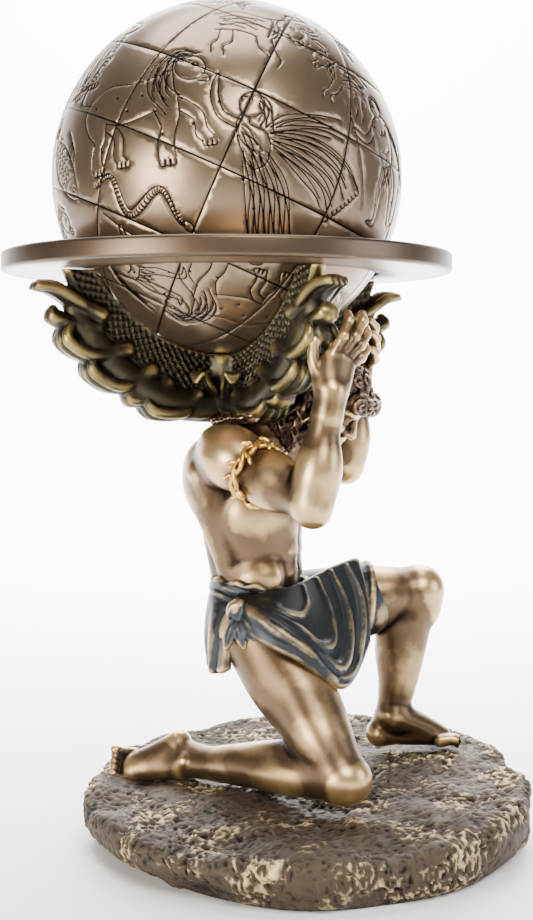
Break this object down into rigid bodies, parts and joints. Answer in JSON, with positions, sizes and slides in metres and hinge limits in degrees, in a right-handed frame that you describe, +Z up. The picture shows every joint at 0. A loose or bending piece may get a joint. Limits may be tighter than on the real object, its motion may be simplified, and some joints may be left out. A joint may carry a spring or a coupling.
{
  "type": "statue",
  "caption": "Bearded man kneeling on one knee on a rough rock, holding an engraved globe in a leafy cradle with a flat ring round it above his shoulders.",
  "frame": {"origin": "middle of the rock's flat underside", "axes": "+X the way the figure faces, +Y the figure's left, +Z up"},
  "size_m": [0.1953, 0.1714, 0.3046],
  "materials": {
    "rough_bronze": "rough dark bronze, pitted, with rubbed gold highlights",
    "polished_bronze": "polished warm bronze with darker recesses; cloth part blue-grey, hair dark brown",
    "gilt_leaf": "green-grey patina with rubbed gold ridges",
    "satin_bronze": "satin brown bronze, edges rubbed lighter",
    "engraved_bronze": "satin bronze with near-black engraved lines"
  },
  "bodies": {
    "root": {"rock_base": "rough_bronze", "atlas_figure": "polished_bronze", "globe_cradle": "gilt_leaf", "horizon_ring": "satin_bronze", "celestial_globe": "engraved_bronze"}
  },
  "joints": []
}
